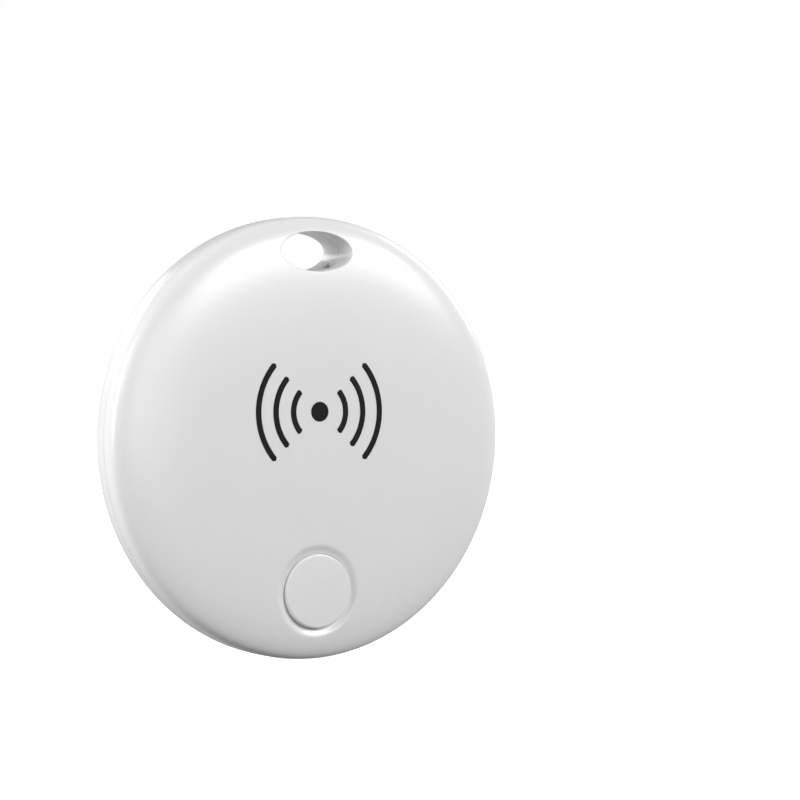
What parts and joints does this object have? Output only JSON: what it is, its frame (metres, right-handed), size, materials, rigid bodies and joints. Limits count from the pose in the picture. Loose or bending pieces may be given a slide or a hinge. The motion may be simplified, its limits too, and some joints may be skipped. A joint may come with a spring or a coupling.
{
  "type": "bluetooth tracker tag",
  "caption": "Round white key-finder tag: thin split case with a keyring hole, a push button on the front, a sounder behind a barred grille on the back, and a coin cell inside.",
  "frame": {"origin": "centre of the keyring hole, in the plane of the seam between the two shells", "axes": "+Z from the disc's centre up to the keyring hole, -Y out of the front face with the button, +Y out of the back face with the grille"},
  "size_m": [0.038, 0.0065, 0.038],
  "materials": {
    "shell": "white moulded plastic, satin gloss",
    "silicone": "soft matt silicone",
    "sound_mesh": "fine woven acoustic mesh",
    "black_plastic": "matt moulded plastic",
    "steel": "nickel plated steel",
    "cell_fill": "pressed powder and soft metal, never seen",
    "circuit_board": "solder mask over glass fibre",
    "chip": "matt epoxy",
    "ceramic": "fired ceramic",
    "brass": "rolled brass",
    "adhesive": "foam adhesive ring"
  },
  "bodies": {
    "case": {"antenna_capacitor_1": "ceramic", "antenna_capacitor_2": "ceramic", "antenna_inductor": "ceramic", "boost_inductor": "chip", "bulk_capacitor": "ceramic", "button_resistor": "chip", "button_seal": "silicone", "case_seal": "silicone", "chip_antenna": "ceramic", "circuit_board": "circuit_board", "crystal_capacitor_1": "ceramic", "crystal_capacitor_2": "ceramic", "driver_resistor": "chip", "front_shell": "shell", "main_crystal": "steel", "negative_contact": "steel", "piezo_spring_ground": "steel", "piezo_spring_signal": "steel", "positive_contact": "steel", "radio_chip": "chip", "sleep_crystal": "steel", "sounder_driver": "chip", "supply_capacitor_1": "ceramic", "supply_capacitor_2": "ceramic", "switch_base": "black_plastic", "switch_cover": "steel"},
    "button": {"button_cap": "shell"},
    "switch": {"switch_plunger": "black_plastic", "switch_dome": "steel"},
    "rear_cover": {"rear_shell": "shell", "sound_mesh": "sound_mesh", "piezo_plate": "brass", "piezo_ceramic": "ceramic", "piezo_adhesive": "adhesive"},
    "cell": {"cell_can": "steel", "cell_cap": "steel", "cell_gasket": "black_plastic", "cell_lithium": "cell_fill", "cell_separator": "sound_mesh", "cell_cathode": "cell_fill"}
  },
  "joints": [
    {"name": "button_press", "type": "slide", "parent": "case", "child": "button", "axis": [0, 1, 0], "range_m": [0, 0.00025], "stiffness_N_per_m": 1000, "springref_m": -0.0008},
    {"name": "switch_press", "type": "slide", "parent": "case", "child": "switch", "axis": [0, 1, 0], "range_m": [0, 0.00025]},
    {"name": "rear_cover_lift", "type": "slide", "parent": "case", "child": "rear_cover", "axis": [0, 1, 0], "range_m": [0, 0.02]},
    {"name": "cell_lift", "type": "slide", "parent": "case", "child": "cell", "axis": [0, 1, 0], "range_m": [0, 0.01]}
  ],
  "couplings": [
    {"joint": "switch_press", "follows": "button_press", "ratio": 1},
    {"joint": "cell_lift", "follows": "rear_cover_lift", "ratio": 0.5}
  ]
}
